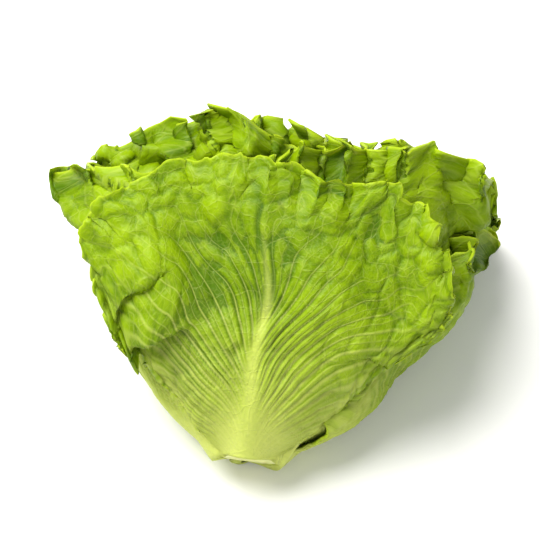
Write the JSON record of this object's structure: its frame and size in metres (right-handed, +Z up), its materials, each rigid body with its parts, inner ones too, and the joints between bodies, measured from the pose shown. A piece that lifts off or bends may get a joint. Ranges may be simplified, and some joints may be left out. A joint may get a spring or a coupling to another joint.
{
  "type": "head of lettuce",
  "caption": "Head of green leaf lettuce lying on its side: broad ribbed leaves with frilled margins, wrapped one inside another round a short cut stem.",
  "frame": {"origin": "on the table surface under the middle of the head's box", "axes": "+Z up from the table, the cut butt points along -Y and the leafy end along +Y, +X to the right seen from the butt"},
  "size_m": [0.2742, 0.2406, 0.1607],
  "materials": {
    "outer_leaf": "fresh leaf blade, bright yellow-green with pale ribs and veins, soft waxy sheen, light passes through it",
    "inner_leaf": "fresh leaf blade, lighter yellow-green with a frilled lacy margin, soft waxy sheen",
    "heart_leaf": "young leaf, pale yellow-green and crumpled, soft waxy sheen",
    "stem_core": "fresh cut stem, pale green-white flesh, slightly moist, a little browned at the cut"
  },
  "bodies": {
    "root": {"outer_leaf_01": "outer_leaf", "outer_leaf_02": "outer_leaf", "outer_leaf_03": "outer_leaf", "outer_leaf_04": "outer_leaf", "outer_leaf_05": "outer_leaf", "outer_leaf_06": "outer_leaf", "outer_leaf_07": "outer_leaf", "outer_leaf_08": "outer_leaf", "outer_leaf_09": "outer_leaf", "outer_leaf_10": "outer_leaf", "outer_leaf_11": "outer_leaf", "outer_leaf_12": "outer_leaf", "inner_leaf_01": "inner_leaf", "inner_leaf_02": "inner_leaf", "inner_leaf_03": "inner_leaf", "inner_leaf_04": "inner_leaf", "inner_leaf_05": "inner_leaf", "inner_leaf_06": "inner_leaf", "inner_leaf_07": "inner_leaf", "inner_leaf_08": "inner_leaf", "inner_leaf_09": "inner_leaf", "heart_leaf_01": "heart_leaf", "heart_leaf_02": "heart_leaf", "heart_leaf_03": "heart_leaf", "heart_leaf_04": "heart_leaf", "heart_leaf_05": "heart_leaf", "heart_leaf_06": "heart_leaf", "heart_leaf_07": "heart_leaf", "stem_core": "stem_core"}
  },
  "joints": []
}
